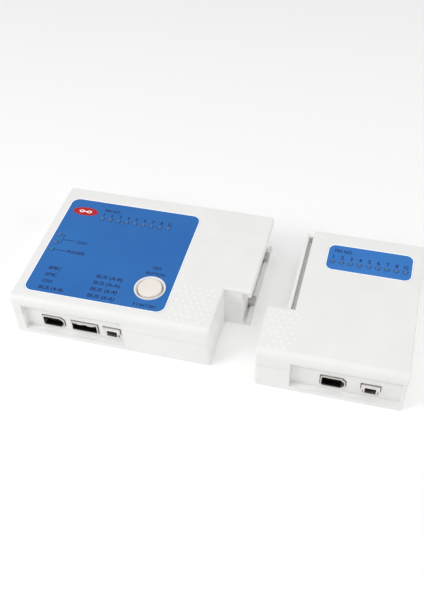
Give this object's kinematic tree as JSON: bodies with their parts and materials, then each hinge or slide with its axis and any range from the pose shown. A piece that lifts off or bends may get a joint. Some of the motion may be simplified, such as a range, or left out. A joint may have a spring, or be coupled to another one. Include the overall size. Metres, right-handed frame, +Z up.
{
  "type": "network cable tester",
  "caption": "Two-unit network cable tester: battery-powered master with test button, lamps and sockets, and a remote unit that docks into its side.",
  "frame": {"origin": "on the table, at the middle of the box round both units with the remote unit apart from the master unit", "axes": "+X from the master unit to the remote unit, +Y from the front sockets to the back, +Z up out of the label"},
  "size_m": [0.1854, 0.0872, 0.0245],
  "materials": {
    "case_white": "fine satin moulded ABS",
    "label_blue": "printed polycarbonate film, satin",
    "label_light_blue": "printed polycarbonate film, satin",
    "button_white": "warm white moulded cap, satin",
    "lamp_lens": "diffused lamp lens",
    "socket_metal": "nickel-plated stamped shell",
    "black_nylon": "black moulded nylon",
    "contact_metal": "gold-flashed spring contacts",
    "board_green": "solder-masked laminate",
    "resistor_body": "lacquered resistor bodies",
    "screw_steel": "zinc-plated steel",
    "spacer_nylon": "natural nylon",
    "lead_tin": "tinned wire",
    "plunger_ivory": "ivory moulded plunger",
    "battery_can": "plain printed steel can",
    "catch_steel": "dark spring steel"
  },
  "bodies": {
    "master": {"battery": "battery_can", "battery_snap": "black_nylon", "coax_lamps": "lamp_lens", "controller_chip": "black_nylon", "dock_catches": "catch_steel", "master_board": "board_green", "master_board_screws": "screw_steel", "master_bottom_cover": "case_white", "master_case_screws": "screw_steel", "master_four_pin_insert": "black_nylon", "master_four_pin_shell": "socket_metal", "master_jack": "black_nylon", "master_jack_contacts": "contact_metal", "master_label": "label_blue", "master_lamp_leads": "lead_tin", "master_lamp_spacers": "spacer_nylon", "master_line_lamps": "lamp_lens", "master_resistors": "resistor_body", "master_six_pin_insert": "black_nylon", "master_six_pin_shell": "socket_metal", "master_top_cover": "case_white", "master_usb_a_insert": "black_nylon", "master_usb_a_shell": "socket_metal", "power_lamp": "lamp_lens", "test_switch": "black_nylon"},
    "test_button": {"test_button": "button_white", "switch_plunger": "plunger_ivory"},
    "battery_door": {"battery_door": "case_white"},
    "remote": {"remote_board": "board_green", "remote_board_screws": "screw_steel", "remote_bottom_cover": "case_white", "remote_case_screws": "screw_steel", "remote_four_pin_insert": "black_nylon", "remote_four_pin_shell": "socket_metal", "remote_jack": "black_nylon", "remote_jack_contacts": "contact_metal", "remote_label": "label_light_blue", "remote_lamp_leads": "lead_tin", "remote_lamp_spacers": "spacer_nylon", "remote_line_lamps": "lamp_lens", "remote_resistors": "resistor_body", "remote_six_pin_insert": "black_nylon", "remote_six_pin_shell": "socket_metal", "remote_top_cover": "case_white", "remote_usb_a_insert": "black_nylon", "remote_usb_a_shell": "socket_metal", "remote_usb_b_insert": "black_nylon", "remote_usb_b_shell": "socket_metal"}
  },
  "joints": [
    {"name": "test_button_press", "type": "slide", "parent": "master", "child": "test_button", "axis": [0, 0, 1], "range_m": [-0.001, 0], "stiffness_N_per_m": 300},
    {"name": "battery_door_slide", "type": "slide", "parent": "master", "child": "battery_door", "axis": [0, 1, 0], "range_m": [0, 0.054]},
    {"name": "remote_apart", "type": "slide", "parent": "master", "child": "remote", "axis": [1, 0, 0], "range_m": [-0.017, 0.06]}
  ]
}
